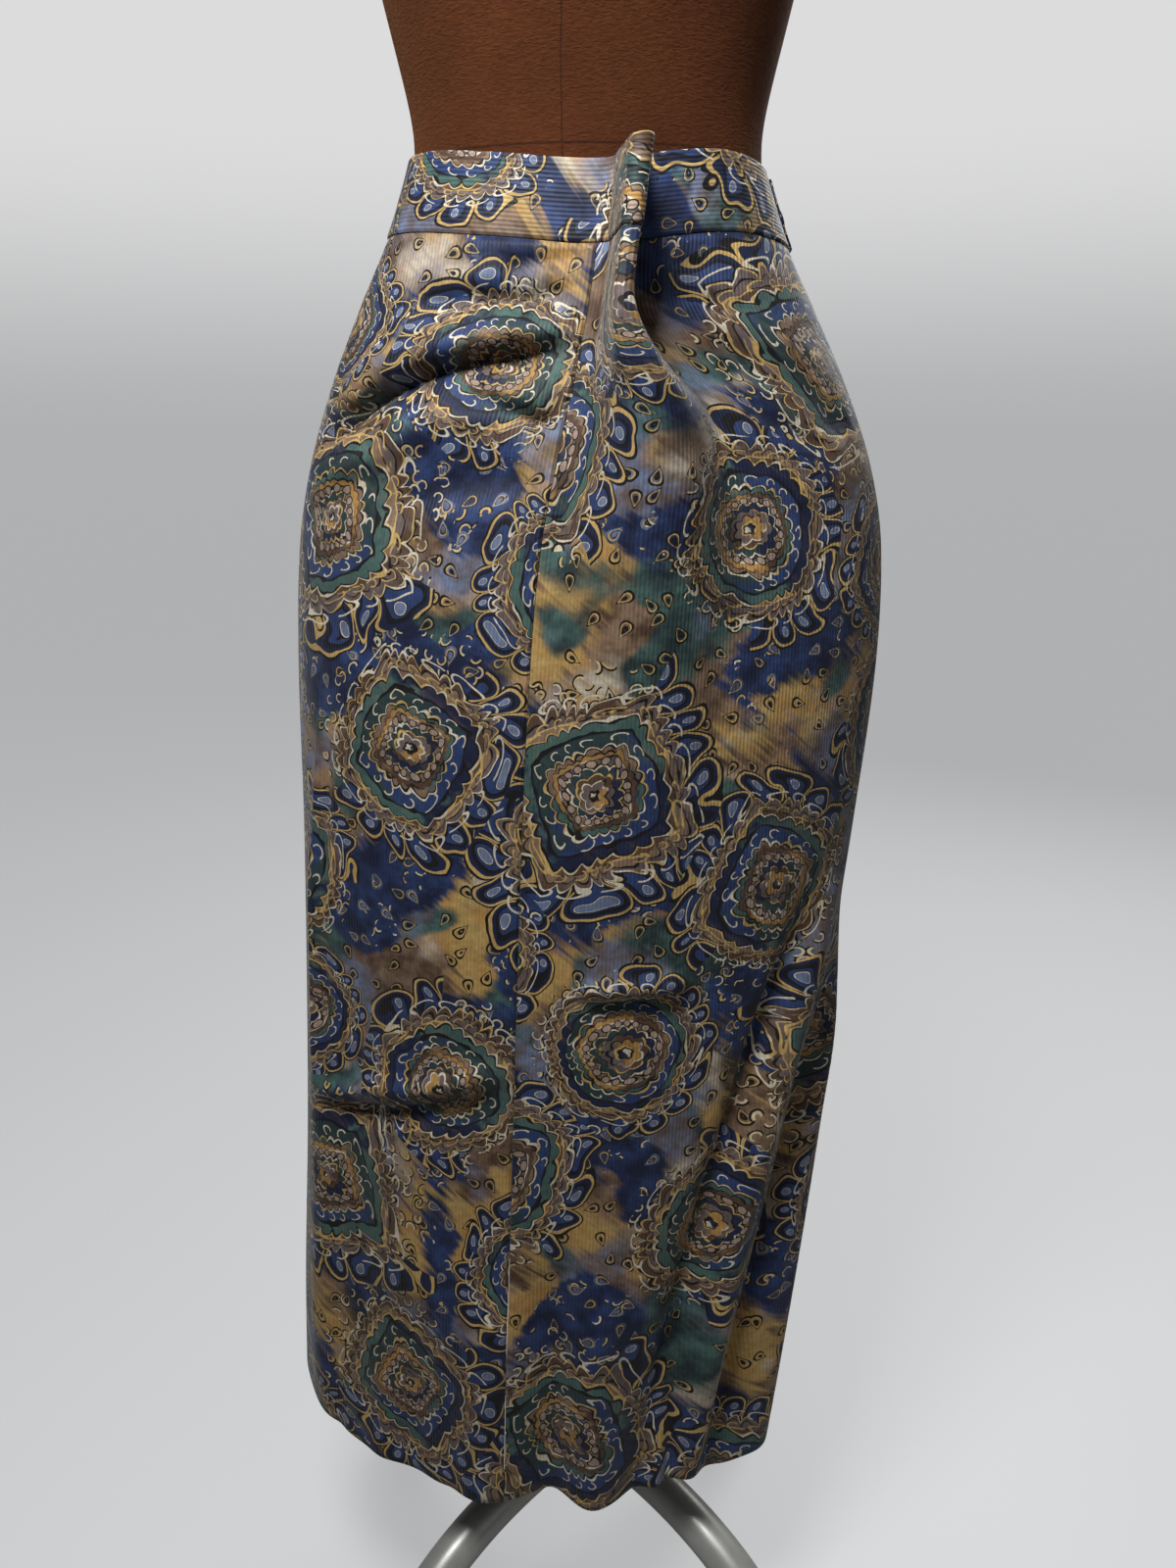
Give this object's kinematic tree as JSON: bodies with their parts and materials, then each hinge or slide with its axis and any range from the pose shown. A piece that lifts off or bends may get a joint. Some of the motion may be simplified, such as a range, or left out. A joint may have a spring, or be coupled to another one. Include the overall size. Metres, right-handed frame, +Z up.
{
  "type": "midi skirt on a dress form",
  "caption": "Midi skirt with a straight waistband and side button, spare waist cloth pinched into a front fold, on a limbless dress form with a legged stand.",
  "frame": {"origin": "middle of the whole part's outline on the floor, under the feet; the pole's axis stands 12 mm from it towards the wearer's left", "axes": "+Z up along the pole, -Y is the way the form faces, +X is the wearer's left"},
  "size_m": [0.4104, 0.327, 1.5433],
  "materials": {
    "printed_cloth": "soft rayon crepe with fine ribs, printed",
    "button": "dark navy, moulded",
    "form_cover": "rust brown felted jersey, stretched over the form",
    "wood": "clear varnish",
    "stand_metal": "light grey, satin",
    "foot_rubber": "matt"
  },
  "bodies": {
    "root": {"front_right": "printed_cloth", "front_left": "printed_cloth", "back": "printed_cloth", "waistband": "printed_cloth", "waistband_lap": "printed_cloth", "button": "button", "form_trunk": "form_cover", "form_board": "wood", "neck_cap": "wood", "pole": "stand_metal", "pole_collar": "stand_metal", "hub": "stand_metal", "leg_front_left": "stand_metal", "leg_back_left": "stand_metal", "leg_back_right": "stand_metal", "leg_front_right": "stand_metal", "foot_front_left": "foot_rubber", "foot_back_left": "foot_rubber", "foot_back_right": "foot_rubber", "foot_front_right": "foot_rubber"}
  },
  "joints": []
}
